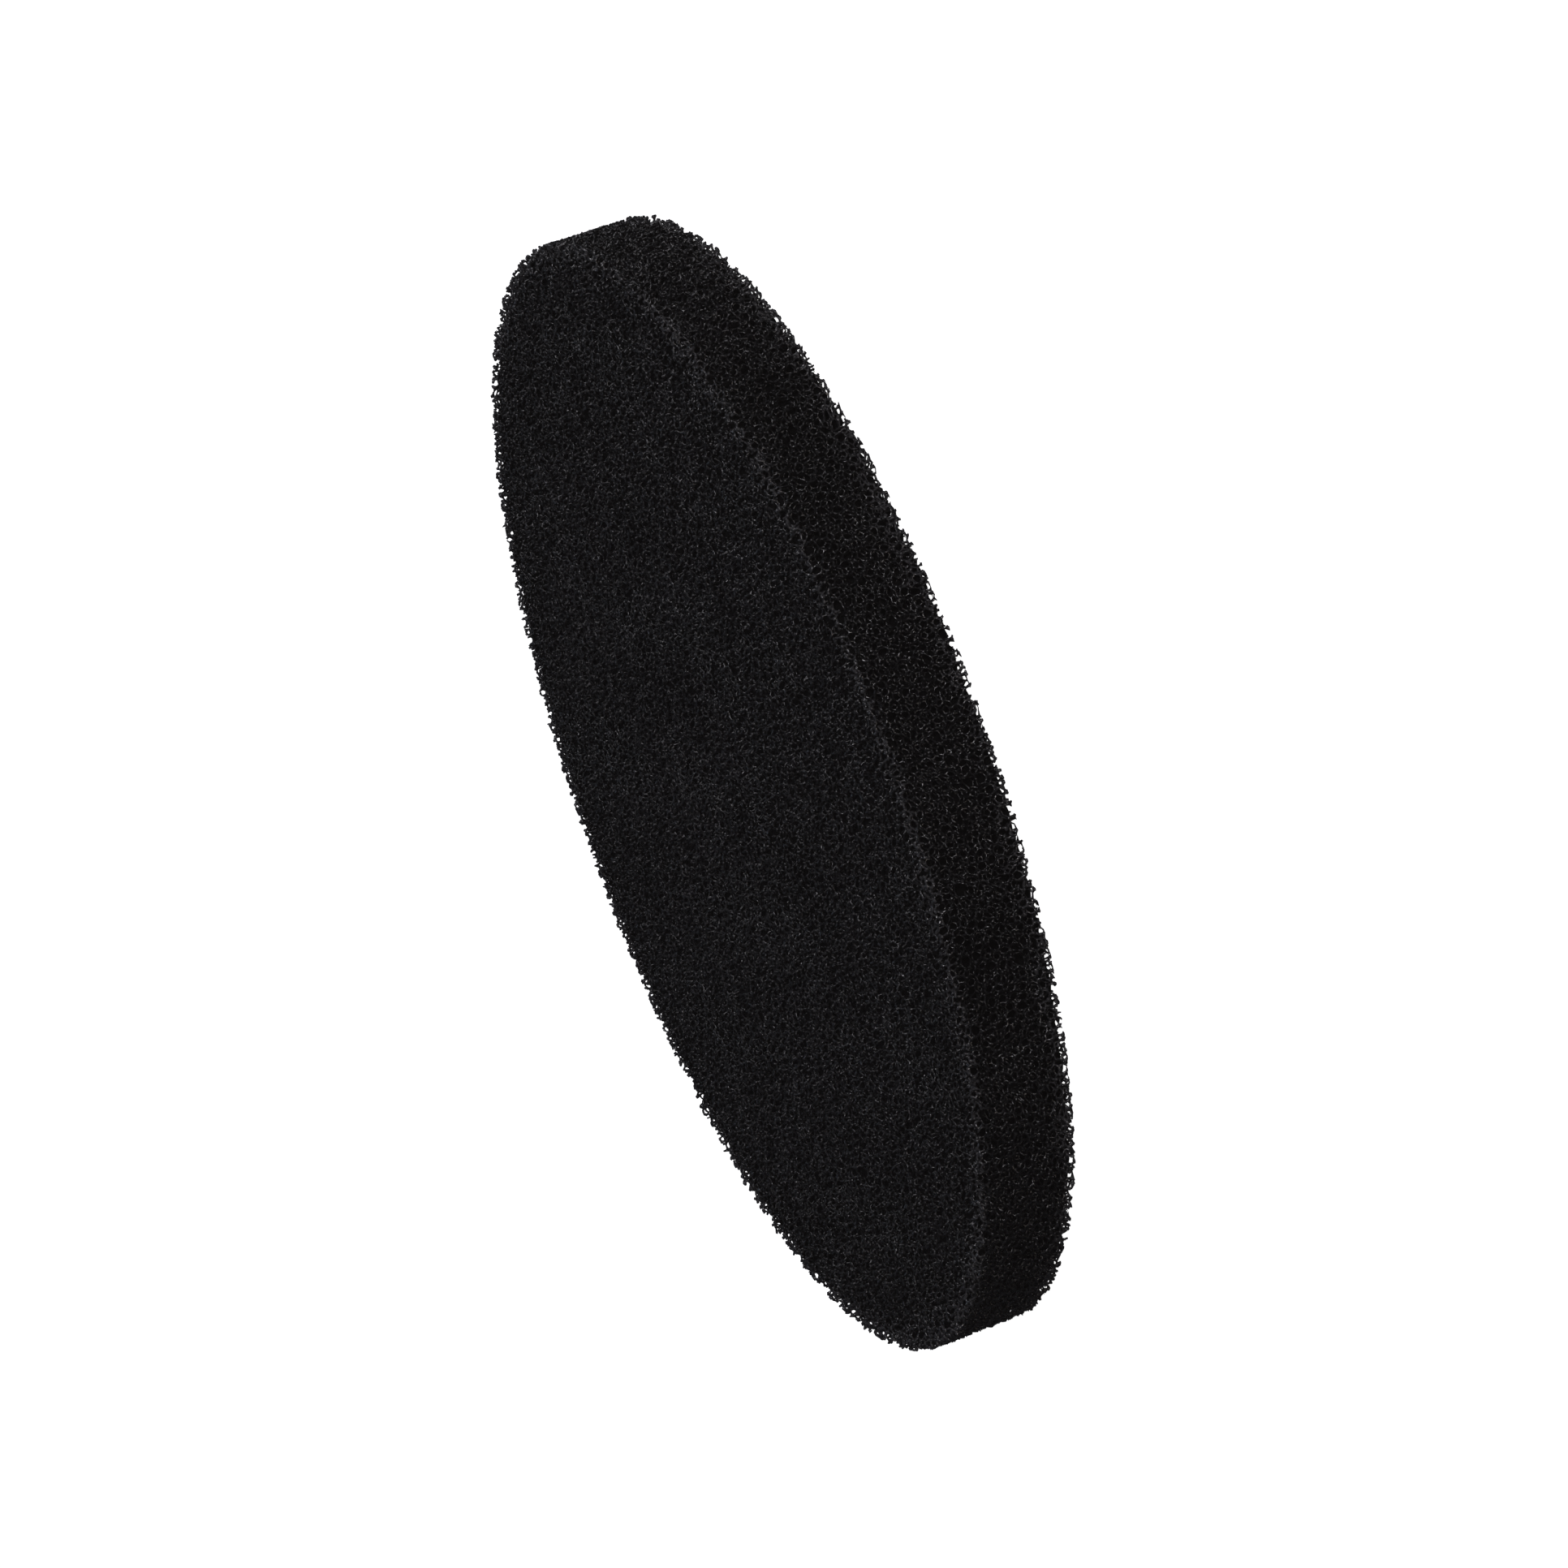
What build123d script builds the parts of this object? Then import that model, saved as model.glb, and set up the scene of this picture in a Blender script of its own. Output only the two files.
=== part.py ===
from build123d import *
import os

# A plain round disc cut from a sheet of open-cell foam.
# Millimetres, +Z up. The origin is the centre of the bottom face, so the disc
# lies flat on the ground plane with its axis upright.
# The solid is the body that the foam fills. Its cells and strands aren't modelled here.

disc_diameter = 120.0  # across the cut rim
disc_thickness = 10.0  # thickness of the foam sheet
edge_radius = 0.5  # how far the strands fall away at both cut edges

os.makedirs("parts", exist_ok=True)


def make_foam_disc():
    """The disc: a straight-sided cut through the sheet, with two slightly soft edges."""
    with BuildPart() as disc:
        Cylinder(
            radius=disc_diameter / 2,
            height=disc_thickness,
            align=(Align.CENTER, Align.CENTER, Align.MIN),
        )
        fillet(disc.edges().filter_by(GeomType.CIRCLE), radius=edge_radius)
    return disc.part


parts = {
    "foam_disc": make_foam_disc(),
}

for node, shape in parts.items():
    export_step(shape, "parts/" + node + ".step")
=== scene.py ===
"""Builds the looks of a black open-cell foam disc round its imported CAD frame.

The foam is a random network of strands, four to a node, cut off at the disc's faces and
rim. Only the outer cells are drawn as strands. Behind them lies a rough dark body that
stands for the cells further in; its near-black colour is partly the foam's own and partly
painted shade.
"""

import math
from itertools import combinations

import bpy
import numpy as np
from mathutils import Matrix, Vector


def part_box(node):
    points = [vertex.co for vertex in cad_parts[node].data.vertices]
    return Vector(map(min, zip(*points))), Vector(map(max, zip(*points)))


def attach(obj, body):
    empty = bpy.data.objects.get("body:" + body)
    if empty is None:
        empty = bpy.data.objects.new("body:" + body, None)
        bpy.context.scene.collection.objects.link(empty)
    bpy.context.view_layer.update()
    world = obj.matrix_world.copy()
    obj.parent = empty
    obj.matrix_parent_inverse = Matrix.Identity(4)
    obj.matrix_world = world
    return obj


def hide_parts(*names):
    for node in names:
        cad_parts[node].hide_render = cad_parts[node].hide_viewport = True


bl_info = {
    "name": "Foam Disc",
    "version": (1, 0, 0),
    "blender": (4, 5, 0),
    "location": "3D View > Sidebar > Foam Disc",
    "description": "Builds a disc of black open-cell foam from its network of strands",
    "category": "Add Mesh",
}

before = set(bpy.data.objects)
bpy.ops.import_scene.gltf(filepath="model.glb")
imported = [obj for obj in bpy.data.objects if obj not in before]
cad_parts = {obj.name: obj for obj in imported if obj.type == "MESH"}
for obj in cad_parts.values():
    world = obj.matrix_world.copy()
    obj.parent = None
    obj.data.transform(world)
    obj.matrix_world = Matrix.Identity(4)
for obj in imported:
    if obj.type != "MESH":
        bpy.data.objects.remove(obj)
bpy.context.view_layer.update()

NODE = "foam_disc"
LOW, HIGH = (np.array(corner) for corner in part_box(NODE))
RADIUS = float(HIGH[0] - LOW[0]) / 2
THICKNESS = float(HIGH[2] - LOW[2])
MID_HEIGHT = float(HIGH[2] + LOW[2]) / 2

MM = 0.001

BLOCK_CELLS = (14, 14, 10)  # cells along each side of the block of foam that repeats
NEIGHBOURS = 40  # nearest cells that are looked at round each cell
LIKELY = 32  # nearest cells that may share a node with it
BATCH = 256  # cells worked on at once
WIDEST_GAP = 1.9  # between two cells that share a node, in cell pitches
LARGEST_REACH = 0.9  # from a node to its cells, in cell pitches squared
TINY = 1e-9

RELAX_ROUNDS = 4
RELAX_SHARE = 1 / 8  # of a node's four pulls: half way to the mean of its neighbours

DRIFT_WAVES = 6
DRIFT_LENGTHS = (7, 16)  # millimetres
CLOUD_WAVES = 8
CLOUD_LENGTHS = (5, 30)  # millimetres

TINT_MIDDLE = 0.34
TINT_CLOUD = 0.05  # how much each slow wave changes the tint
TINT_SCATTER = 0.13  # how much the tint varies from node to node
UPPER_EDGE = (2.2 * MM, 0.6 * MM)  # how far the upper edge's painted light and swell reach in and down
LOWER_EDGE = (1.0 * MM, 1.8 * MM)  # how far the lower edge's painted light and swell reach in and up

STRAY_SHARE = 0.015  # of the cut strands stand out
PULLED_OFF = 0.25  # how far outside a pulled-off node is counted, in cell pitches
LONGEST_REACH = 1.2  # of a cut strand, as a share of its uncut length
TIP_WIDTH = 0.85  # of a cut strand's end, as a share of its start

PALETTE_MARGIN = 0.02  # left free round the UV map
PALETTE_SCATTER = 0.003  # so that few vertices share a place on it
DEPTH_SHADE = 0.5  # share of its light that a strand has lost at full depth
INSIDE_DARKEST = 0.4  # darkest patches of the inside, as a share of its colour

INSIDE_ACROSS = 168  # squares across each face of the dark inside
INSIDE_ROWS = 10  # and up its wall
INSIDE_ROUGH = 0.15  # how rough it is, in cell pitches

FLOOR_HALF = 3.0  # metres
SENSOR_WIDTH = 36.0  # millimetres
CAMERA_ASIDE = (0.00194, 0.00038)  # metres that the camera stands aside of the disc's middle


# ---------------------------------------------------------------- settings


class FoamCells(bpy.types.PropertyGroup):
    """How large the cells are and how the cut faces run through them."""

    pitch: bpy.props.FloatProperty(
        name="Cell pitch",
        description="Distance between the centres of neighbouring cells",
        default=1.26 * MM,
        min=0.4 * MM,
        unit="LENGTH",
    )
    scatter: bpy.props.FloatProperty(
        name="Cell scatter",
        description="How far each cell strays from even packing, as a share of the pitch",
        default=0.34,
        min=0.0,
        max=0.35,
        subtype="FACTOR",
    )
    drift: bpy.props.FloatProperty(
        name="Drift",
        description="How far the cells lean and stretch over the width of a few cells",
        default=0.32 * MM,
        min=0.0,
        unit="LENGTH",
    )
    strand_radius: bpy.props.FloatProperty(
        name="Strand radius",
        description="Distance from a strand's middle to its edges where it meets a node",
        default=0.155 * MM,
        min=0.02 * MM,
        unit="LENGTH",
    )
    waist: bpy.props.FloatProperty(
        name="Waist",
        description="Thickness of a strand half way along, as a share of that at a node",
        default=0.7,
        min=0.2,
        max=1.0,
        subtype="FACTOR",
    )
    bow: bpy.props.FloatProperty(
        name="Bow",
        description="How far the middle of a strand strays from the straight line",
        default=0.05 * MM,
        min=0.0,
        unit="LENGTH",
    )
    fine_depth: bpy.props.FloatProperty(
        name="Fine depth",
        description="How far in from the top face and rim strands have waists and bows",
        default=0.55 * MM,
        min=0.0,
        unit="LENGTH",
    )
    strand_spread: bpy.props.FloatProperty(
        name="Strand spread",
        description="How much the strand radius varies from node to node",
        default=0.22,
        min=0.0,
        max=0.5,
        subtype="FACTOR",
    )
    top_depth: bpy.props.FloatProperty(
        name="Top depth",
        description="How far in from the top face the cells are drawn as strands",
        default=0.85 * MM,
        min=0.3 * MM,
        unit="LENGTH",
    )
    base_depth: bpy.props.FloatProperty(
        name="Base depth",
        description="How far in from the bottom face the cells are drawn as strands",
        default=0.6 * MM,
        min=0.3 * MM,
        unit="LENGTH",
    )
    rim_depth: bpy.props.FloatProperty(
        name="Rim depth",
        description="How far in from the rim the cells are drawn as strands",
        default=1.75 * MM,
        min=0.3 * MM,
        unit="LENGTH",
    )
    core_top: bpy.props.FloatProperty(
        name="Core below top",
        description="How far under the top face the dark inside lies",
        default=0.5 * MM,
        min=0.2 * MM,
        unit="LENGTH",
    )
    core_base: bpy.props.FloatProperty(
        name="Core above base",
        description="How far over the bottom face the dark inside lies",
        default=0.35 * MM,
        min=0.2 * MM,
        unit="LENGTH",
    )
    core_rim: bpy.props.FloatProperty(
        name="Core behind rim",
        description="How far in from the rim the dark inside lies",
        default=1.35 * MM,
        min=0.2 * MM,
        unit="LENGTH",
    )
    flare: bpy.props.FloatProperty(
        name="Core flare",
        description="How much wider the dark inside is at its top and base",
        default=0.45 * MM,
        min=0.0,
        unit="LENGTH",
    )
    edge_radius: bpy.props.FloatProperty(
        name="Edge radius",
        description="How far the strands fall away where a face meets the rim",
        default=0.2 * MM,
        min=0.0,
        unit="LENGTH",
    )
    ragged: bpy.props.FloatProperty(
        name="Ragged cut",
        description="How unevenly the blade leaves the ends of the cut strands",
        default=0.035 * MM,
        min=0.0,
        unit="LENGTH",
    )
    swell: bpy.props.FloatProperty(
        name="Edge swell",
        description="How much thicker the strands along the two edges are",
        default=0.4,
        min=0.0,
        max=1.0,
        subtype="FACTOR",
    )
    proud: bpy.props.FloatProperty(
        name="Proud cut",
        description="How far the springy strands stand out over the blade's cut",
        default=0.12 * MM,
        min=0.0,
        unit="LENGTH",
    )
    stray: bpy.props.FloatProperty(
        name="Stray length",
        description="How far the few uncut strand ends stand out of a cut face",
        default=0.14 * MM,
        min=0.0,
        unit="LENGTH",
    )
    shortest_stub: bpy.props.FloatProperty(
        name="Shortest stub",
        description="How much of its way to the cut face the shortest cut strand reaches",
        default=0.5,
        min=0.0,
        max=1.0,
        subtype="FACTOR",
    )
    longest_stub: bpy.props.FloatProperty(
        name="Longest stub",
        description="How much of its way to the cut face the longest cut strand reaches",
        default=1.0,
        min=0.0,
        max=1.0,
        subtype="FACTOR",
    )
    # Painted light: strands near the two edges are made lighter in colour, standing for the
    # light that the edges catch and let through.
    painted_light: bpy.props.FloatProperty(
        name="Edge wear",
        description="How much lighter the strands along the two edges are",
        default=1.0,
        min=0.0,
        max=1.0,
        subtype="FACTOR",
    )
    top_sections: bpy.props.IntProperty(
        name="Top sections",
        description="How many sections the strands of the top face are kept in",
        default=9,
        min=1,
    )
    base_sections: bpy.props.IntProperty(
        name="Base sections",
        description="How many sections the strands of the bottom face are kept in",
        default=5,
        min=1,
    )
    rim_sections: bpy.props.IntProperty(
        name="Rim sections",
        description="How many sections the strands of the rim are kept in",
        default=4,
        min=1,
    )
    seed: bpy.props.IntProperty(
        name="Seed", description="Picks one of many equal foams", default=11, min=0
    )


class FoamFinish(bpy.types.PropertyGroup):
    """The colours and gloss of the foam."""

    strand_dark: bpy.props.FloatVectorProperty(
        name="Dark strands",
        description="Colour of the darkest strands",
        subtype="COLOR",
        default=(0.0020, 0.0020, 0.0021),
        min=0.0,
        max=1.0,
    )
    strand_light: bpy.props.FloatVectorProperty(
        name="Light strands",
        description="Colour of the lightest strands",
        subtype="COLOR",
        default=(0.0350, 0.0345, 0.0360),
        min=0.0,
        max=1.0,
    )
    gloss: bpy.props.FloatProperty(
        name="Smoothest strand",
        description="Roughness of the glossiest strands",
        default=0.15,
        min=0.0,
        max=1.0,
        subtype="FACTOR",
    )
    matt: bpy.props.FloatProperty(
        name="Roughest strand",
        description="Roughness of the dullest strands",
        default=0.35,
        min=0.0,
        max=1.0,
        subtype="FACTOR",
    )
    # Partly painted shade: the inside is coloured darker than the strands because little
    # light reaches the cells further in.
    inside: bpy.props.FloatVectorProperty(
        name="Inside",
        description="Colour of the cells further in, which little light reaches",
        subtype="COLOR",
        default=(0.0014, 0.0013, 0.0012),
        min=0.0,
        max=1.0,
    )
    passed_colour: bpy.props.FloatVectorProperty(
        name="Passed light",
        description="Colour of the faint light that the cells pass on to one another",
        subtype="COLOR",
        default=(1.0, 0.88, 0.90),
        min=0.0,
        max=1.0,
    )
    passed: bpy.props.FloatProperty(
        name="Passed light strength",
        description="How much of that faint light there is",
        default=0.0028,
        min=0.0,
    )


class FoamStage(bpy.types.PropertyGroup):
    """The floor, the lights and the camera."""

    floor: bpy.props.FloatVectorProperty(
        name="Floor",
        description="Colour of the plain floor",
        subtype="COLOR",
        default=(0.9, 0.9, 0.9),
        min=0.0,
        max=1.0,
    )
    floor_glow: bpy.props.FloatProperty(
        name="Floor glow",
        description="Light that the floor gives off itself",
        default=1.0,
        min=0.0,
    )
    room: bpy.props.FloatVectorProperty(
        name="Room light",
        description="Colour of the even light from all round",
        subtype="COLOR",
        default=(0.82, 0.86, 1.0),
        min=0.0,
        max=1.0,
    )
    room_strength: bpy.props.FloatProperty(
        name="Room light strength",
        description="Strength of the even light from all round",
        default=0.055,
        min=0.0,
    )
    key_colour: bpy.props.FloatVectorProperty(
        name="Key lamp",
        description="Colour of the main lamp and of the side lamp",
        subtype="COLOR",
        default=(0.96, 0.93, 0.99),
        min=0.0,
        max=1.0,
    )
    warm: bpy.props.FloatVectorProperty(
        name="Front lamp",
        description="Colour of the low lamp in front",
        subtype="COLOR",
        default=(1.0, 0.88, 0.8),
        min=0.0,
        max=1.0,
    )
    cool: bpy.props.FloatVectorProperty(
        name="Back lamp",
        description="Colour of the lamp above and behind",
        subtype="COLOR",
        default=(0.7, 0.8, 1.0),
        min=0.0,
        max=1.0,
    )
    lamp_distance: bpy.props.FloatProperty(
        name="Lamp distance",
        description="Distance from each lamp to the middle of the disc",
        default=0.8,
        min=0.1,
        unit="LENGTH",
    )
    key: bpy.props.FloatProperty(
        name="Key lamp power",
        description="Power of the main lamp",
        default=2.5,
        min=0.0,
        unit="POWER",
    )
    front: bpy.props.FloatProperty(
        name="Front lamp power",
        description="Power of the low lamp in front",
        default=0.88,
        min=0.0,
        unit="POWER",
    )
    back: bpy.props.FloatProperty(
        name="Back lamp power",
        description="Power of the lamp above and behind",
        default=0.3,
        min=0.0,
        unit="POWER",
    )
    side: bpy.props.FloatProperty(
        name="Side lamp power",
        description="Power of the broad lamp to the right",
        default=1.0,
        min=0.0,
        unit="POWER",
    )
    distance: bpy.props.FloatProperty(
        name="Camera distance",
        description="Distance from the camera to the middle of the disc",
        default=0.5383,
        min=0.1,
        unit="LENGTH",
    )
    height: bpy.props.FloatProperty(
        name="Camera height",
        description="Angle of the camera above the disc's faces",
        default=math.radians(16.17),
        subtype="ANGLE",
        unit="ROTATION",
    )
    lean: bpy.props.FloatProperty(
        name="Camera lean",
        description="How far the disc's axis leans in the view, anticlockwise from upright",
        default=math.radians(109.6),
        subtype="ANGLE",
        unit="ROTATION",
    )
    lens: bpy.props.FloatProperty(
        name="Lens",
        description="Focal length of the camera's lens",
        default=119.35,
        min=10.0,
        unit="CAMERA",
    )


# ---------------------------------------------------------------- shader nodes


class Socket:
    """A shader value that adds Math nodes when it is used in an expression."""

    def __init__(self, shader, link):
        self.shader, self.link = shader, link

    def _maths(self, operation, first, second):
        return self.shader.add(
            "ShaderNodeMath", {"operation": operation}, {0: first, 1: second}
        )

    def __add__(self, other):
        return self._maths("ADD", self, other)

    def __radd__(self, other):
        return self._maths("ADD", other, self)

    def __sub__(self, other):
        return self._maths("SUBTRACT", self, other)

    def __rsub__(self, other):
        return self._maths("SUBTRACT", other, self)

    def __mul__(self, other):
        return self._maths("MULTIPLY", self, other)

    def __rmul__(self, other):
        return self._maths("MULTIPLY", other, self)


class Shader:
    """A node material with one Principled surface."""

    def __init__(self, name, **constants):
        self.material = bpy.data.materials.new(name)
        self.material.use_nodes = True
        self.tree = self.material.node_tree
        self.surface = next(n for n in self.tree.nodes if n.type == "BSDF_PRINCIPLED")
        for socket, value in constants.items():
            self.set(socket.replace("_", " "), value)

    def set(self, socket, value):
        """Gives one of the surface's sockets a constant or a link."""
        self._feed(self.surface.inputs[socket], value)

    def _feed(self, target, value):
        if isinstance(value, Socket):
            self.tree.links.new(value.link, target)
        elif target.type == "RGBA":
            target.default_value = (*value, 1.0)
        else:
            target.default_value = value

    def add(self, kind, settings=None, inputs=None, output=0):
        """Adds a node: its type, its settings, then the values or links of its sockets."""
        node = self.tree.nodes.new(kind)
        for name, value in (settings or {}).items():
            setattr(node, name, value)
        for key, value in (inputs or {}).items():
            self._feed(node.inputs[key], value)
        return Socket(self, node.outputs[output])

    def attribute(self, name):
        """The value of one of the mesh's own attributes."""
        return self.add("ShaderNodeAttribute", {"attribute_name": name}, output="Fac")

    def blend(self, share, first, second):
        """A colour between two, by share."""
        return self.add(
            "ShaderNodeMix",
            {"data_type": "RGBA"},
            {"Factor": share, 6: first, 7: second},
            output=2,
        )


# ---------------------------------------------------------------- the foam's network


def nearest_cells(centres, counts, wanted):
    """Each cell's neighbours in a box that repeats, nearest first, and the way to each."""
    counts = np.array(counts)
    size = counts.astype(float)
    bins = np.floor(centres).astype(int) % counts
    flat = (bins[:, 0] * counts[1] + bins[:, 1]) * counts[2] + bins[:, 2]
    order = np.argsort(flat, kind="stable")
    start = np.searchsorted(flat[order], np.arange(counts.prod() + 1))
    held = np.full((counts.prod(), int(np.diff(start).max())), -1)
    for k in range(held.shape[1]):
        here = start[:-1] + k < start[1:]
        held[here, k] = order[start[:-1][here] + k]
    found, gaps = [], []
    reach = np.arange(-2, 3)
    for step in np.stack(np.meshgrid(reach, reach, reach), -1).reshape(-1, 3):
        at = (bins + step) % counts
        other = held[(at[:, 0] * counts[1] + at[:, 1]) * counts[2] + at[:, 2]]
        way = centres[other] - centres[:, None]
        way -= np.round(way / size) * size
        gap = (way**2).sum(2)
        gap[(other < 0) | (other == np.arange(len(centres))[:, None])] = np.inf
        found.append(other)
        gaps.append(gap)
    found, gaps = np.concatenate(found, 1), np.concatenate(gaps, 1)
    rows = np.arange(len(centres))[:, None]
    near = np.argpartition(gaps, wanted, axis=1)[:, :wanted]
    near = near[rows, np.argsort(gaps[rows, near], axis=1)]
    cells = found[rows, near]
    way = centres[cells] - centres[:, None]
    return cells, way - np.round(way / size) * size


def meeting_points(centres):
    """The nodes: the four cells that meet at each, and its place.

    Four cells meet at a node if their common sphere holds no other cell.
    """
    near, way = nearest_cells(centres, BLOCK_CELLS, NEIGHBOURS)
    triples = np.array(list(combinations(range(LIKELY), 3)))
    corners, nodes = [], []
    for first in range(0, len(centres), BATCH):
        here = np.arange(first, min(first + BATCH, len(centres)))
        to = way[here]
        gap = np.linalg.norm(to[:, :LIKELY, None] - to[:, None, :LIKELY], axis=3)
        close = gap < WIDEST_GAP
        later = near[here][:, :LIKELY] > here[:, None]
        a, b, c = triples.T
        fit = later[:, a] & later[:, b] & later[:, c]
        fit &= close[:, a, b] & close[:, b, c] & close[:, a, c]
        cell, triple = np.nonzero(fit)
        p, q, r = (to[cell, triples[triple, k]] for k in range(3))
        qr, rp, pq = np.cross(q, r), np.cross(r, p), np.cross(p, q)
        volume = (p * qr).sum(1)
        solid = np.abs(volume) > TINY
        cell, triple, p, q, r, qr, rp, pq, volume = (
            x[solid] for x in (cell, triple, p, q, r, qr, rp, pq, volume)
        )
        node = (p**2).sum(1)[:, None] * qr + (q**2).sum(1)[:, None] * rp
        node = (node + (r**2).sum(1)[:, None] * pq) / (2 * volume)[:, None]
        reach = (node**2).sum(1)
        small = reach < LARGEST_REACH
        cell, triple, node, reach = cell[small], triple[small], node[small], reach[small]
        gap = ((to[cell] - node[:, None]) ** 2).sum(2)
        gap[np.arange(len(cell))[:, None], triples[triple]] = np.inf
        empty = (gap > reach[:, None] - TINY).all(1)
        cell, triple, node = cell[empty], triple[empty], node[empty]
        meet = near[here[cell][:, None], triples[triple]]
        corners.append(np.concatenate([here[cell][:, None], meet], 1))
        nodes.append(centres[here[cell]] + node)
    return np.sort(np.concatenate(corners), 1), np.concatenate(nodes)


def joined_nodes(corners, count):
    """The strands: pairs of nodes that share three cells, out of this many cells."""
    shared = np.concatenate([np.delete(corners, k, 1) for k in range(4)])
    owner = np.tile(np.arange(len(corners)), 4)
    code = (shared[:, 0] * count + shared[:, 1]) * count + shared[:, 2]
    order = np.argsort(code, kind="stable")
    code, owner = code[order], owner[order]
    pair = np.flatnonzero(code[1:] == code[:-1])
    return np.stack([owner[pair], owner[pair + 1]], 1)


def foam_block(cells):
    """One box of foam that repeats on all sides, its cells scattered round an even packing.

    Returns the nodes, the strands as pairs of nodes, the box steps that each strand takes
    and the box's size.
    """
    random = np.random.default_rng(cells.seed)
    size = np.array(BLOCK_CELLS, float)
    even = np.meshgrid(*map(np.arange, BLOCK_CELLS), indexing="ij")
    even = np.stack(even, -1).reshape(-1, 3)
    centres = np.concatenate([even + 0.25, even + 0.75])
    centres += random.uniform(-cells.scatter, cells.scatter, centres.shape)
    centres %= size
    corners, nodes = meeting_points(centres)
    nodes %= size
    strands = joined_nodes(corners, len(centres))
    steps = -np.round((nodes[strands[:, 1]] - nodes[strands[:, 0]]) / size).astype(int)
    for _ in range(RELAX_ROUNDS):  # surface tension evens out lengths and angles
        pull = nodes[strands[:, 1]] + steps * size - nodes[strands[:, 0]]
        for k in range(3):
            ahead = np.bincount(strands[:, 0], pull[:, k], len(nodes))
            behind = np.bincount(strands[:, 1], pull[:, k], len(nodes))
            nodes[:, k] += (ahead - behind) * RELAX_SHARE
    return nodes * cells.pitch, strands, steps, size * cells.pitch


def random_wave(random, lengths):
    """The direction and closeness of a random wave, of a length between these two."""
    wave = random.normal(size=3)
    wave *= 2 * math.pi / (random.uniform(*lengths) * MM) / np.linalg.norm(wave)
    return wave


def drifted(points, amount, seed):
    """Points moved by a slow drift, so that no two repeats of the block are alike."""
    random = np.random.default_rng(seed + 1)
    moved = points.copy()
    for _ in range(DRIFT_WAVES):
        wave = random_wave(random, DRIFT_LENGTHS)
        swing = random.normal(size=3) * amount / math.sqrt(DRIFT_WAVES)
        moved += np.sin(points @ wave + random.uniform(0, 2 * math.pi))[:, None] * swing
    return moved


def depth_in_disc(points, edge_radius):
    """How far inside the disc's surface each point lies; negative outside."""
    out = np.hypot(points[:, 0], points[:, 1]) - (RADIUS - edge_radius)
    up = np.abs(points[:, 2] - MID_HEIGHT) - (THICKNESS / 2 - edge_radius)
    corner = np.hypot(np.maximum(out, 0), np.maximum(up, 0))
    return edge_radius - corner - np.minimum(np.maximum(out, up), 0)


def disc_network(cells):
    """The foam's nodes and strands near the disc's surface, with each node's depth."""
    nodes, strands, steps, size = foam_block(cells)
    level = steps[:, 2] == 0  # the block is taller than the disc
    strands, steps = strands[level], steps[level]
    nodes = nodes + (0, 0, MID_HEIGHT - size[2] / 2)
    across = int(math.ceil(RADIUS / size[0])) + 1
    span = 2 * across
    places = np.stack(np.meshgrid(*[np.arange(-across, across)] * 2, indexing="ij"), -1)
    places = places.reshape(-1, 2)
    points = nodes[None] + np.pad(places * size[:2], ((0, 0), (0, 1)))[:, None]
    points = points.reshape(-1, 3)
    block = (places + across)[:, None] + steps[None, :, :2]
    inside = ((block >= 0) & (block < span)).all(2)
    ends = (block[..., 0] * span + block[..., 1]) * len(nodes) + strands[None, :, 1]
    starts = np.arange(len(places))[:, None] * len(nodes) + strands[None, :, 0]
    strands = np.stack([starts[inside], ends[inside]], 1)
    points = drifted(points, cells.drift, cells.seed)
    depth = depth_in_disc(points, cells.edge_radius)
    margin = 2 * cells.pitch
    near = (depth > -margin) & (depth < cells.rim_depth + margin)
    strands = strands[near[strands].all(1)]
    used, strands = np.unique(strands, return_inverse=True)
    return points[used], strands.reshape(-1, 2), depth[used]


# ---------------------------------------------------------------- strands as meshes


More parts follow.
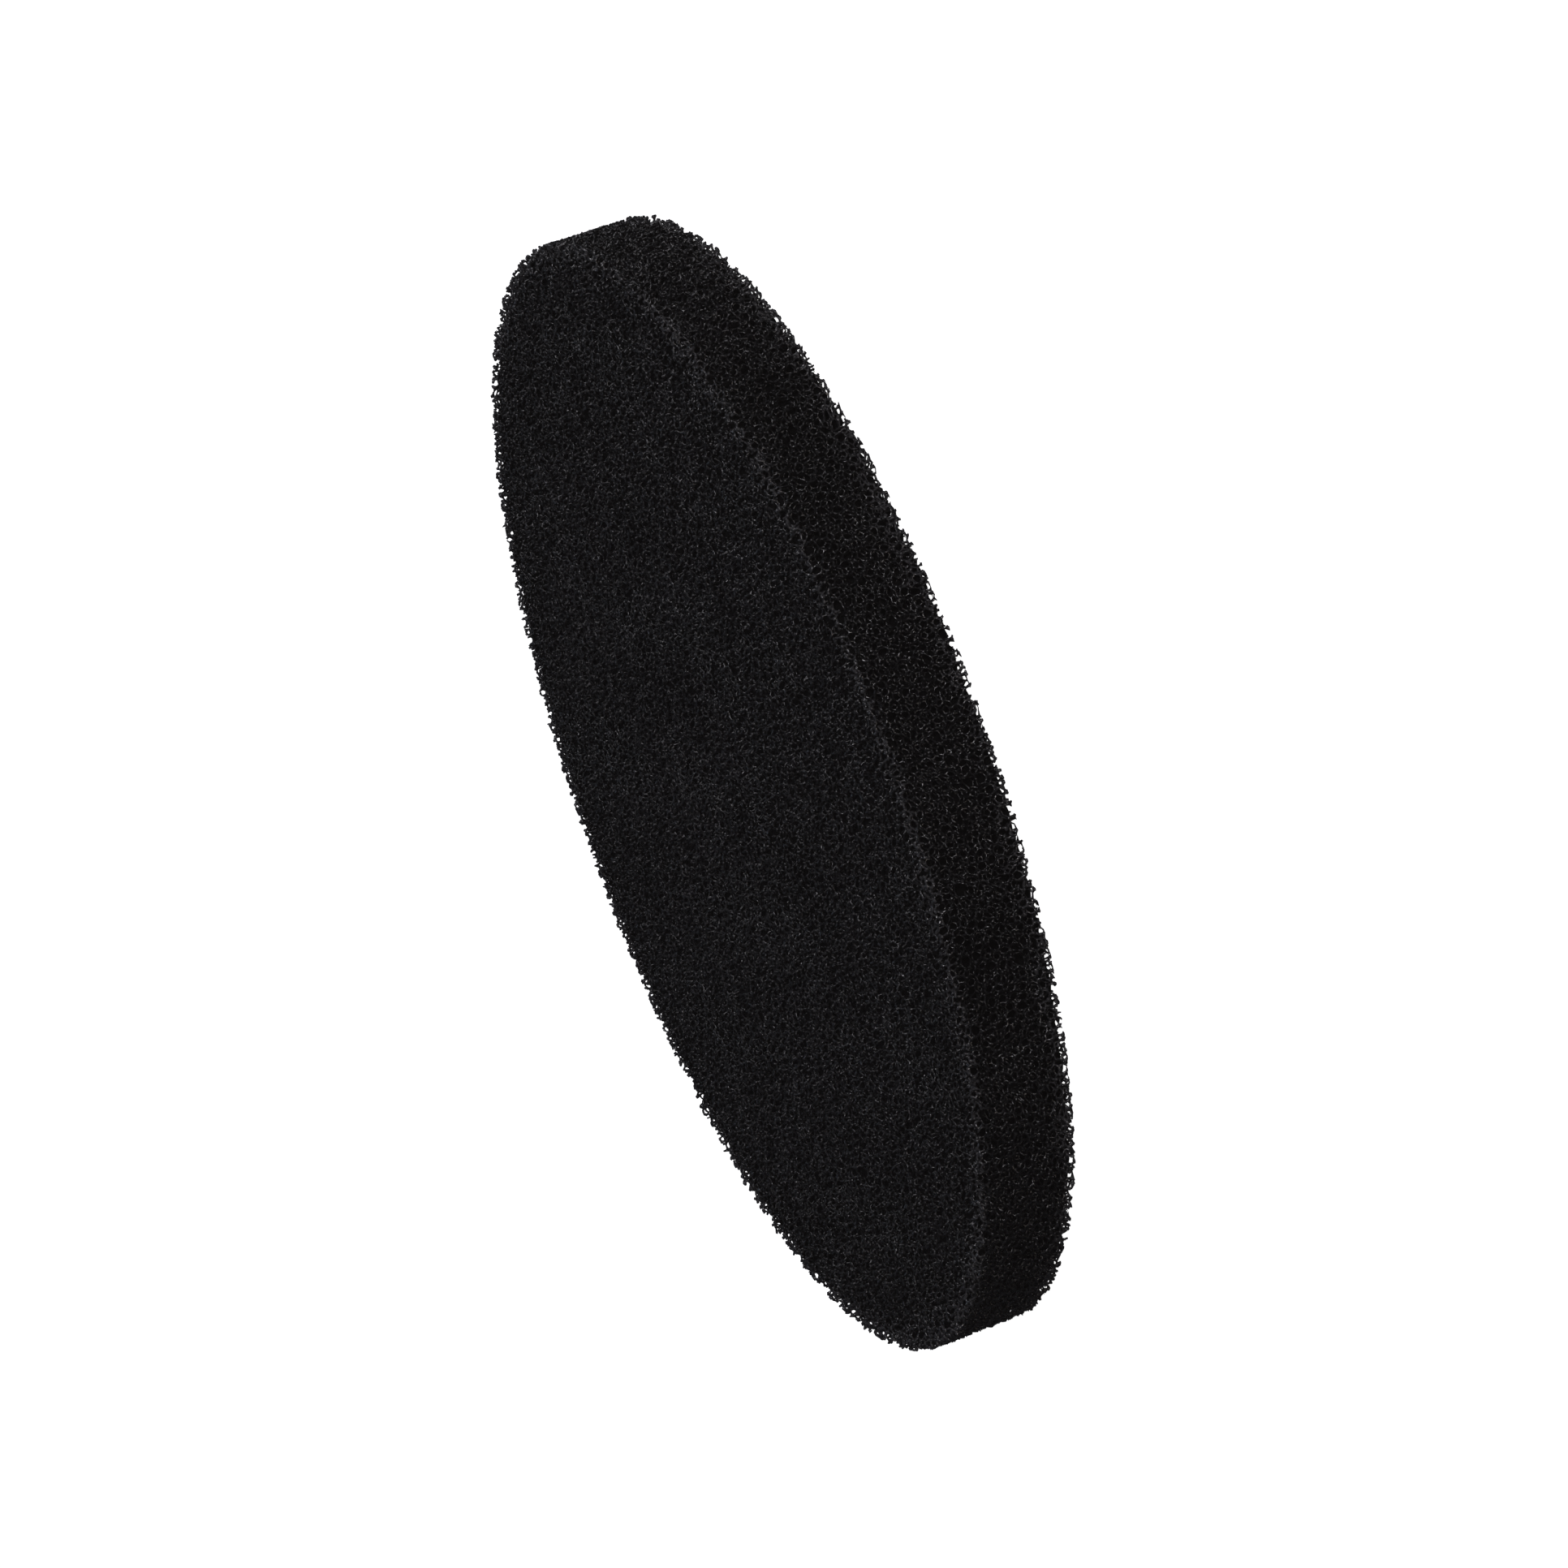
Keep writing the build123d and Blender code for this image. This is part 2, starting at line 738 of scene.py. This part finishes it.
class StrandNet:
    """The network with everything that turns part of it into a mesh."""

    def __init__(self, cells):
        random = np.random.default_rng(cells.seed + 2)
        self.points, self.strands, depth = disc_network(cells)
        count = len(self.points)
        self.depth = depth + cells.proud + random.normal(0, cells.ragged, count)
        for _ in range(2):  # the blade pulls off a node that only one strand holds
            inside = self.depth > 0
            both = self.strands[inside[self.strands].all(1)]
            held = np.bincount(both.ravel(), minlength=count)
            loose = inside & (self.depth < cells.pitch) & (held < 2)
            self.depth[loose] = -PULLED_OFF * cells.pitch
        to_rim = RADIUS - np.hypot(self.points[:, 0], self.points[:, 1])
        fine = np.minimum(to_rim, HIGH[2] - self.points[:, 2]) < cells.fine_depth
        self.radius = cells.strand_radius * (
            1 + cells.strand_spread * random.uniform(-1, 1, count)
        )
        self.radius[~fine] *= (1 + cells.waist) / 2
        edge = self.edge_share()
        self.radius *= 1 + cells.swell * edge
        self.fine = fine[self.strands].any(1)
        self.waist = cells.waist
        self.bow = random.normal(0, cells.bow, (len(self.strands), 3))
        # The tint is the strands' own tone, which varies at random, plus painted light along
        # the two edges.
        self.tint = np.clip(self.cloudiness(random) + cells.painted_light * edge, 0, 1)
        self.slot_strands()
        inside = self.depth > 0
        first, second = inside[self.strands].T
        shallow = self.open_share(cells)[self.strands].min(1) < 1
        self.whole = first & second & shallow
        self.kept = np.flatnonzero(self.whole | (first ^ second))
        stray = random.random(len(self.strands)) < STRAY_SHARE
        self.over = np.where(stray, random.uniform(0, cells.stray, len(stray)), 0.0)
        self.stub = random.uniform(cells.shortest_stub, cells.longest_stub, len(stray))

    def open_share(self, cells):
        """How far through the drawn cells each node lies, from its nearest face or rim."""
        across = np.hypot(self.points[:, 0], self.points[:, 1])
        return np.minimum.reduce(
            [
                (RADIUS - across) / cells.rim_depth,
                (HIGH[2] - self.points[:, 2]) / cells.top_depth,
                (self.points[:, 2] - LOW[2]) / cells.base_depth,
            ]
        )

    def cloudiness(self, random):
        """The tint at each node before the painted edge light: slow clouds with a scatter
        over the nodes.
        """
        cloud = np.zeros(len(self.points))
        for _ in range(CLOUD_WAVES):
            wave = random_wave(random, CLOUD_LENGTHS)
            cloud += np.sin(self.points @ wave + random.uniform(0, 2 * math.pi))
        tint = TINT_MIDDLE + TINT_CLOUD * cloud
        return tint + random.normal(0, TINT_SCATTER, len(cloud))

    def edge_share(self):
        """How near each node lies to the disc's upper or lower edge, from 0 to 1."""
        out = RADIUS - np.hypot(self.points[:, 0], self.points[:, 1])
        height = self.points[:, 2]
        upper = np.hypot(out / UPPER_EDGE[0], (HIGH[2] - height) / UPPER_EDGE[1])
        lower = np.hypot(out / LOWER_EDGE[0], (height - LOW[2]) / LOWER_EDGE[1])
        return np.exp(-np.minimum(upper, lower) ** 2)

    def slot_strands(self):
        """Gives each strand one of four places at each node, and keeps the ways out."""
        halves = self.strands.ravel()
        order = np.argsort(halves, kind="stable")
        rank = np.empty(len(halves), int)
        first = np.searchsorted(halves[order], halves[order])
        rank[order] = np.arange(len(halves)) - first
        self.places = np.minimum(rank, 3).reshape(-1, 2)
        way = self.points[self.strands[:, 1]] - self.points[self.strands[:, 0]]
        way /= np.linalg.norm(way, axis=1)[:, None]
        self.way = way
        self.out = np.zeros((len(self.points), 4, 3))
        for end, sign in ((0, 1), (1, -1)):
            self.out[self.strands[:, end], self.places[:, end]] = way * sign
        missing = np.linalg.norm(self.out, axis=2) < 0.5
        rest = -self.out.sum(1)
        rest /= np.maximum(np.linalg.norm(rest, axis=1), TINY)[:, None]
        self.out[missing] = np.repeat(rest[:, None], 4, 1)[missing]

    def ring(self, corner, node, place, way):
        """The three corners of a node that a strand starts from, in turn round its way."""
        others = np.array([[1, 2, 3], [0, 2, 3], [0, 1, 3], [0, 1, 2]])[place]
        index = node[:, None] * 4 + others
        a, b, c = (corner[index[:, k]] for k in range(3))
        wrong = (np.cross(b - a, c - a) * way).sum(1) < 0
        index[wrong] = index[wrong][:, ::-1]
        return index

    def section(self, chosen):
        """Vertices, triangles, tint and depth of the strands with these indices.

        Each node is a small four-cornered knot. A strand is a three-sided tube from a side
        of one knot to a side of the next, or to its own cut end, and a side with no strand
        is closed, so the mesh has no open edges.
        """
        used, local = np.unique(self.strands[chosen], return_inverse=True)
        local = local.reshape(-1, 2)
        corner = self.points[used, None] - self.out[used] * self.radius[used, None, None]
        corner = corner.reshape(-1, 3)
        way, place = self.way[chosen], self.places[chosen]
        whole = self.whole[chosen]
        a = self.ring(corner, local[whole, 0], place[whole, 0], way[whole])
        b = self.ring(corner, local[whole, 1], place[whole, 1], way[whole])
        b = self.untwisted(corner, a, b, way[whole])
        fine = self.fine[chosen[whole]]
        middle = self.waists(chosen[whole][fine], corner[a[fine]], corner[b[fine]])
        waist = len(corner) + np.arange(len(middle)).reshape(-1, 3)
        faces = [self.tube(a[~fine], b[~fine])]
        faces += [self.tube(a[fine], waist), self.tube(waist, b[fine])]
        # Cut strands run from their inner node to the surface.
        cut = np.flatnonzero(~whole)
        inner = np.where(self.depth[used[local[cut, 0]]] > 0, 0, 1)
        node, other = local[cut, inner], local[cut, 1 - inner]
        out = way[cut] * np.where(inner == 0, 1, -1)[:, None]
        start = self.ring(corner, node, place[cut, inner], out)
        tips = self.tips(chosen[cut], used[node], used[other], corner[start], out)
        tip = len(corner) + len(middle) + np.arange(len(tips)).reshape(-1, 3)
        faces += [self.tube(start, tip), tip]
        # Sides of a knot that no strand of this section leaves by.
        taken = np.zeros((len(used), 4), bool)
        taken[local[whole, 0], place[whole, 0]] = True
        taken[local[whole, 1], place[whole, 1]] = True
        taken[node, place[cut, inner]] = True
        knot = np.zeros(len(used), bool)
        knot[local[whole].ravel()] = True
        knot[node] = True
        at, side = np.nonzero(~taken & knot[:, None])
        faces.append(self.ring(corner, at, side, self.out[used[at], side]))
        points = np.concatenate([corner, middle, tips])
        points[:, 2] = np.maximum(points[:, 2], LOW[2])  # the disc rests on the floor
        ends = used[local[whole][fine]]
        tint = [np.repeat(self.tint[used], 4), np.repeat(self.tint[ends].mean(1), 3)]
        tint = np.concatenate([*tint, np.repeat(self.tint[used[node]], 3)])
        depth = [np.repeat(self.depth[used], 4), np.repeat(self.depth[ends].mean(1), 3)]
        depth = np.concatenate([*depth, np.zeros(len(tips))])
        faces = np.concatenate(faces)
        kept, faces = np.unique(faces, return_inverse=True)
        return points[kept], faces.reshape(-1, 3), tint[kept], depth[kept]

    def waists(self, strand, first, second):
        """The narrow rings half way along strands, from the rings at their two ends."""
        middle = (first + second) / 2
        hub = middle.mean(1)[:, None]
        middle = hub + self.waist * (middle - hub) + self.bow[strand, None]
        return middle.reshape(-1, 3)

    def tips(self, strand, node, other, ringed, out):
        """The rings at the ends of cut strands, which run from a node towards another."""
        deep = self.depth[node]
        share = deep / (deep - self.depth[other])
        length = np.linalg.norm(self.points[other] - self.points[node], axis=1)
        reach = self.stub[strand] * share * length + self.over[strand]
        reach = np.minimum(reach, LONGEST_REACH * length)
        end = self.points[node] + out * reach[:, None]
        ringed = ringed - ringed.mean(1)[:, None]
        ringed -= (ringed * out[:, None]).sum(2)[..., None] * out[:, None]
        return (end[:, None] + TIP_WIDTH * ringed).reshape(-1, 3)

    def untwisted(self, corner, a, b, way):
        """The second ring turned so that the tube between two rings twists least."""
        start = corner[a] - corner[a].mean(1)[:, None]
        best, least = b, np.full(len(b), np.inf)
        for turn in range(3):
            turned = np.roll(b, turn, 1)
            gap = corner[turned] - corner[b].mean(1)[:, None] - start
            gap -= (gap * way[:, None]).sum(2)[..., None] * way[:, None]
            twist = (gap**2).sum((1, 2))
            best = np.where((twist < least)[:, None], turned, best)
            least = np.minimum(twist, least)
        return best

    @staticmethod
    def tube(a, b):
        """The six triangles round each strand."""
        sides = []
        for k in range(3):
            n = (k + 1) % 3
            sides.append(np.stack([a[:, k], a[:, n], b[:, n]], 1))
            sides.append(np.stack([a[:, k], b[:, n], b[:, k]], 1))
        return np.concatenate(sides)

    def sections(self, top, base, rim):
        """The kept strands shared out by place: the name and indices of each section."""
        middle = self.points[self.strands[self.kept]].mean(1)
        turn = (np.arctan2(middle[:, 1], middle[:, 0]) / (2 * math.pi)) % 1
        to_rim = RADIUS - np.hypot(middle[:, 0], middle[:, 1])
        to_top = HIGH[2] - middle[:, 2]
        to_bottom = middle[:, 2] - LOW[2]
        on_rim = to_rim < np.minimum(to_top, to_bottom)
        groups = (
            ("top", ~on_rim & (to_top <= to_bottom), top),
            ("bottom", ~on_rim & (to_top > to_bottom), base),
            ("rim", on_rim, rim),
        )
        for name, mask, count in groups:
            share = np.minimum((turn * count).astype(int), count - 1)
            for k in range(count):
                yield f"foam_{name}_{k + 1}", self.kept[mask & (share == k)]


def mesh_from(name, points, faces, values):
    """A smooth mesh from arrays of points and triangles, with an attribute per value."""
    mesh = bpy.data.meshes.new(name)
    mesh.vertices.add(len(points))
    mesh.vertices.foreach_set("co", points.astype(np.float32).ravel())
    mesh.loops.add(faces.size)
    mesh.loops.foreach_set("vertex_index", faces.astype(np.int32).ravel())
    mesh.polygons.add(len(faces))
    mesh.polygons.foreach_set("loop_start", np.arange(0, faces.size, 3, dtype=np.int32))
    mesh.polygons.foreach_set("use_smooth", np.ones(len(faces), bool))
    mesh.update(calc_edges=True)
    for key, value in values.items():
        made = mesh.attributes.new(key, "FLOAT", "POINT")
        made.data.foreach_set("value", value.astype(np.float32))
    return mesh


def place_piece(mesh, material):
    """Puts a mesh of the soft foam into the scene as a piece that stands for the CAD disc.
    """
    mesh.materials.append(material)
    piece = bpy.data.objects.new(mesh.name, mesh)
    bpy.context.scene.collection.objects.link(piece)
    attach(piece, "root")
    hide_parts(NODE)


def add_palette_map(mesh, tint, depth, seed):
    """A UV map on which each vertex lies by its tint and depth, as its colour does."""
    random = np.random.default_rng(seed + 5)
    at = np.stack([tint, depth], 1) * (1 - 2 * PALETTE_MARGIN) + PALETTE_MARGIN
    at += random.uniform(-PALETTE_SCATTER, PALETTE_SCATTER, at.shape)
    corner = np.empty(len(mesh.loops), np.int32)
    mesh.loops.foreach_get("vertex_index", corner)
    layer = mesh.uv_layers.new(name="OFBake", do_init=False)
    layer.uv.foreach_set("vector", at[corner].astype(np.float32).ravel())


def pass_light(shader, finish):
    """Adds a faint constant glow that stands for the light the cells pass on."""
    shader.set("Emission Color", finish.passed_colour)
    shader.set("Emission Strength", finish.passed)


def strand_material(finish):
    """Black foam strands: their colour and gloss vary from node to node; their colour also
    carries painted shade that darkens it with depth and painted light along the two edges.
    """
    shader = Shader("black foam strands")
    tint, depth = shader.attribute("tint"), shader.attribute("depth")
    # Painted shade: the deeper a strand lies, the darker its colour.
    light = tint * tint * (1 - DEPTH_SHADE * depth)
    shader.set("Base Color", shader.blend(light, finish.strand_dark, finish.strand_light))
    shader.set("Roughness", finish.matt + (finish.gloss - finish.matt) * tint)
    pass_light(shader, finish)
    return shader.material


def inside_material(finish):
    """The dark inside of the foam: its near-black colour is partly the foam's own and partly
    painted shade, since little light reaches the cells further in.
    """
    shader = Shader("black foam inside", Roughness=1.0)
    shader.set("Specular IOR Level", 0.1)
    mottle = shader.add(
        "ShaderNodeTexNoise", None, {"Scale": 900.0, "Detail": 2.0, "Roughness": 0.6}
    )
    dark = tuple(INSIDE_DARKEST * c for c in finish.inside)
    shader.set("Base Color", shader.blend(mottle, dark, finish.inside))
    pass_light(shader, finish)
    return shader.material


def round_grid(across):
    """A square grid bent into a disc of radius 1: its points, its squares and its edge."""
    line = np.linspace(-1, 1, across + 1)
    u, v = np.meshgrid(line, line, indexing="ij")
    sideways = np.abs(u) > np.abs(v)
    big, small = np.where(sideways, (u, v), (v, u))
    turn = np.pi / 4 * small / np.where(big == 0, 1, big)
    x = np.where(sideways, big * np.cos(turn), big * np.sin(turn))
    y = np.where(sideways, big * np.sin(turn), big * np.cos(turn))
    grid = np.arange((across + 1) ** 2).reshape(across + 1, across + 1)
    squares = np.stack([grid[:-1, :-1], grid[1:, :-1], grid[1:, 1:], grid[:-1, 1:]], -1)
    edge = np.concatenate([grid[:-1, 0], grid[-1, :-1], grid[:0:-1, -1], grid[0, :0:-1]])
    return np.stack([x.ravel(), y.ravel()], 1), squares.reshape(-1, 4), edge


# ---------------------------------------------------------------- operators


class FOAM_OT_inside(bpy.types.Operator):
    """Build the rough dark body behind the open cells"""

    bl_idname = "foam_disc.inside"
    bl_label = "Inside"

    def execute(self, context):
        cells = context.scene.foam_cells
        random = np.random.default_rng(cells.seed + 3)
        radius = RADIUS - cells.core_rim
        upper, lower = HIGH[2] - cells.core_top, LOW[2] + cells.core_base
        plane, quads, around = round_grid(INSIDE_ACROSS)
        count = len(plane)
        wide = (radius + cells.flare) * plane
        top = np.column_stack([wide, np.full(count, upper)])
        bottom = np.column_stack([wide, np.full(count, lower)])
        long = len(around)
        wall, rings = [], [around]
        for k, height in enumerate(np.linspace(upper, lower, INSIDE_ROWS + 1)[1:-1]):
            wall.append(np.column_stack([radius * plane[around], np.full(long, height)]))
            rings.append(2 * count + k * long + np.arange(long))
        rings.append(count + around)
        faces = [quads, quads[:, ::-1] + count]
        for ring, below in zip(rings, rings[1:]):
            faces.append(np.stack([ring, below, np.roll(below, -1), np.roll(ring, -1)], 1))
        points = np.concatenate([top, bottom, *wall])
        faces = np.concatenate(faces)
        points += random.uniform(-INSIDE_ROUGH, INSIDE_ROUGH, points.shape) * cells.pitch
        tri = np.concatenate([faces[:, [0, 1, 2]], faces[:, [0, 2, 3]]])
        mesh = mesh_from("foam_inside", points, tri, {})
        place_piece(mesh, inside_material(context.scene.foam_finish))
        return {"FINISHED"}


class FOAM_OT_strands(bpy.types.Operator):
    """Build the open cells of both faces and the rim, strand by strand"""

    bl_idname = "foam_disc.strands"
    bl_label = "Strands"

    def execute(self, context):
        cells = context.scene.foam_cells
        net = StrandNet(cells)
        material = strand_material(context.scene.foam_finish)
        counts = cells.top_sections, cells.base_sections, cells.rim_sections
        for number, (name, chosen) in enumerate(net.sections(*counts)):
            points, faces, tint, depth = net.section(chosen)
            depth = np.clip(depth / cells.rim_depth, 0, 1)
            mesh = mesh_from(name, points, faces, {"tint": tint, "depth": depth})
            add_palette_map(mesh, tint, depth, cells.seed + number)
            place_piece(mesh, material)
        return {"FINISHED"}


class FOAM_OT_stage(bpy.types.Operator):
    """Build the floor, the lights and the camera"""

    bl_idname = "foam_disc.stage"
    bl_label = "Stage"

    def execute(self, context):
        stage = context.scene.foam_stage
        self.floor(context, stage)
        self.lights(context, stage)
        self.camera(context, stage)
        return {"FINISHED"}

    def floor(self, context, stage):
        mesh = bpy.data.meshes.new("floor")
        signs = ((-1, -1), (1, -1), (1, 1), (-1, 1))
        corners = [(x * FLOOR_HALF, y * FLOOR_HALF, float(LOW[2])) for x, y in signs]
        mesh.from_pydata(corners, [], [(0, 1, 2, 3)])
        shader = Shader("floor", Roughness=0.9)
        shader.set("Base Color", stage.floor)
        shader.set("Emission Color", (1.0, 1.0, 1.0))
        shader.set("Emission Strength", stage.floor_glow)
        mesh.materials.append(shader.material)
        floor = bpy.data.objects.new("floor", mesh)
        floor.visible_diffuse = floor.visible_glossy = False
        context.scene.collection.objects.link(floor)

    def lights(self, context, stage):
        world = bpy.data.worlds.new("room")
        world.use_nodes = True
        tree = world.node_tree
        room = next(n for n in tree.nodes if n.type == "BACKGROUND")
        room.inputs["Color"].default_value = (*stage.room, 1.0)
        room.inputs["Strength"].default_value = stage.room_strength
        backdrop = tree.nodes.new("ShaderNodeBackground")
        backdrop.inputs["Color"].default_value = (1.0, 1.0, 1.0, 1.0)
        seen = tree.nodes.new("ShaderNodeLightPath")
        mix = tree.nodes.new("ShaderNodeMixShader")
        tree.links.new(seen.outputs["Is Camera Ray"], mix.inputs[0])
        tree.links.new(room.outputs[0], mix.inputs[1])
        tree.links.new(backdrop.outputs[0], mix.inputs[2])
        out = next(n for n in tree.nodes if n.type == "OUTPUT_WORLD")
        tree.links.new(mix.outputs[0], out.inputs["Surface"])
        context.scene.world = world
        middle = Vector((0.0, 0.0, MID_HEIGHT))
        for name, bearing, height, size, power, colour in (
            ("key lamp", -68, 22, 0.12, stage.key, stage.key_colour),
            ("front lamp", -95, 4, 0.2, stage.front, stage.warm),
            ("back lamp", 60, 60, 0.3, stage.back, stage.cool),
            ("side lamp", 35, 10, 0.5, stage.side, stage.key_colour),
        ):
            light = bpy.data.lights.new(name, "AREA")
            light.shape, light.size, light.energy, light.color = "DISK", size, power, colour
            lamp = bpy.data.objects.new(name, light)
            turn = Matrix.Rotation(math.radians(bearing), 4, "Z")
            turn = turn @ Matrix.Rotation(-math.radians(height), 4, "Y")
            lamp.location = turn @ Vector((stage.lamp_distance, 0.0, 0.0))
            aim = (middle - lamp.location).to_track_quat("-Z", "Y")
            lamp.rotation_euler = aim.to_euler()
            context.scene.collection.objects.link(lamp)

    def camera(self, context, stage):
        lens = bpy.data.cameras.new("camera")
        lens.lens, lens.sensor_width = stage.lens, SENSOR_WIDTH
        lens.sensor_fit = "HORIZONTAL"
        lens.clip_start, lens.clip_end = 0.01, 20.0
        camera = bpy.data.objects.new("camera", lens)
        # Seen from the camera, the disc lies straight ahead, with its axis leaning.
        view = Matrix.Rotation(math.radians(90) - stage.height, 4, "X")
        view = view @ Matrix.Rotation(-stage.lean, 4, "Z")
        aside = Vector((*CAMERA_ASIDE, stage.distance))
        middle = Vector((0.0, 0.0, MID_HEIGHT))
        camera.matrix_world = Matrix.Translation(middle) @ view @ Matrix.Translation(aside)
        context.scene.collection.objects.link(camera)
        context.scene.camera = camera
        context.scene.view_settings.view_transform = "Standard"


class FOAM_PT_panel(bpy.types.Panel):
    """Lists the settings and the steps of the build"""

    bl_idname = "FOAM_PT_panel"
    bl_label = "Foam Disc"
    bl_space_type = "VIEW_3D"
    bl_region_type = "UI"
    bl_category = "Foam Disc"

    def draw(self, context):
        for kind in GROUPS:
            group = getattr(context.scene, kind)
            box = self.layout.box()
            for name in group.__annotations__:
                box.prop(group, name)
        for step in STEPS:
            self.layout.operator(step.bl_idname)


GROUPS = {"foam_cells": FoamCells, "foam_finish": FoamFinish, "foam_stage": FoamStage}
STEPS = (FOAM_OT_stage, FOAM_OT_inside, FOAM_OT_strands)
CLASSES = (*GROUPS.values(), *STEPS, FOAM_PT_panel)


def register():
    for cls in CLASSES:
        bpy.utils.register_class(cls)
    for name, group in GROUPS.items():
        setattr(bpy.types.Scene, name, bpy.props.PointerProperty(type=group))


def unregister():
    for name in GROUPS:
        delattr(bpy.types.Scene, name)
    for cls in reversed(CLASSES):
        bpy.utils.unregister_class(cls)


def main():
    register()
    bpy.ops.foam_disc.stage()
    bpy.ops.foam_disc.inside()
    bpy.ops.foam_disc.strands()


if __name__ == "__main__":
    main()
